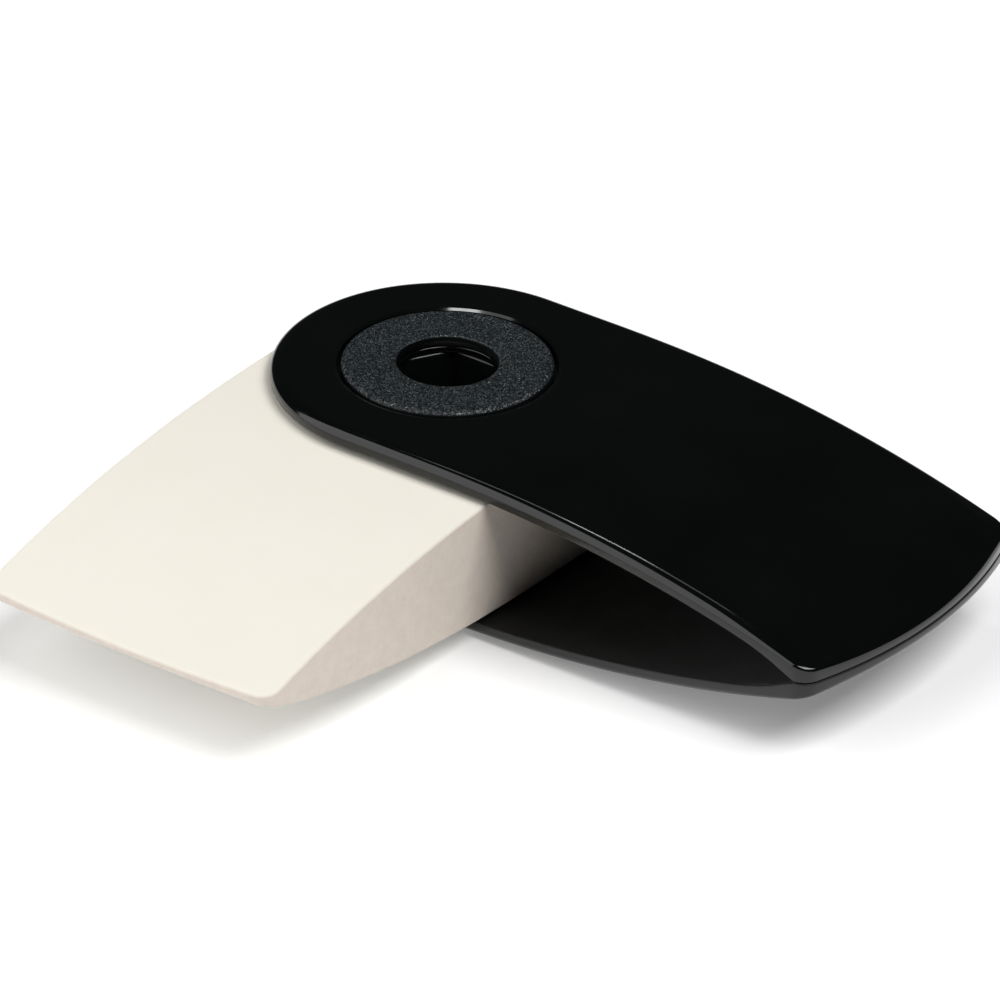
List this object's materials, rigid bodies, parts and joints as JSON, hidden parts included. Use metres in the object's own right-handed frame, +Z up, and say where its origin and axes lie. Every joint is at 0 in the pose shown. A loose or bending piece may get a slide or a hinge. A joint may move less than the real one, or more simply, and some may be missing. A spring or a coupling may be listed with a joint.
{
  "type": "swivel eraser",
  "caption": "Block eraser that swivels out of a glossy two-shell sleeve about a hollow hub, with a grained grip ring around the eye on each side.",
  "frame": {"origin": "middle of the underside of the box around the object, on the surface that it lies on, with the eraser swung out as pictured", "axes": "+X along the sleeve from the hub to the tail, +Z up along the hub, and the eraser swung out towards -Y"},
  "size_m": [0.0694, 0.0636, 0.0162],
  "materials": {
    "sleeve_plastic": "polished black moulding",
    "grip_plastic": "fine spark-eroded grain",
    "hub_plastic": "plain black moulding",
    "eraser_vinyl": "soft matt vinyl with fine pits"
  },
  "bodies": {
    "sleeve": {"upper_shell": "sleeve_plastic", "lower_shell": "sleeve_plastic", "upper_grip_ring": "grip_plastic", "lower_grip_ring": "grip_plastic", "pivot_hub": "hub_plastic"},
    "eraser": {"eraser_block": "eraser_vinyl"}
  },
  "joints": [
    {"name": "eraser_swivel", "type": "hinge", "parent": "sleeve", "child": "eraser", "pos_m": [-0.0186, 0.01569, 0.00812], "axis": [0, 0, 1], "continuous": true}
  ]
}
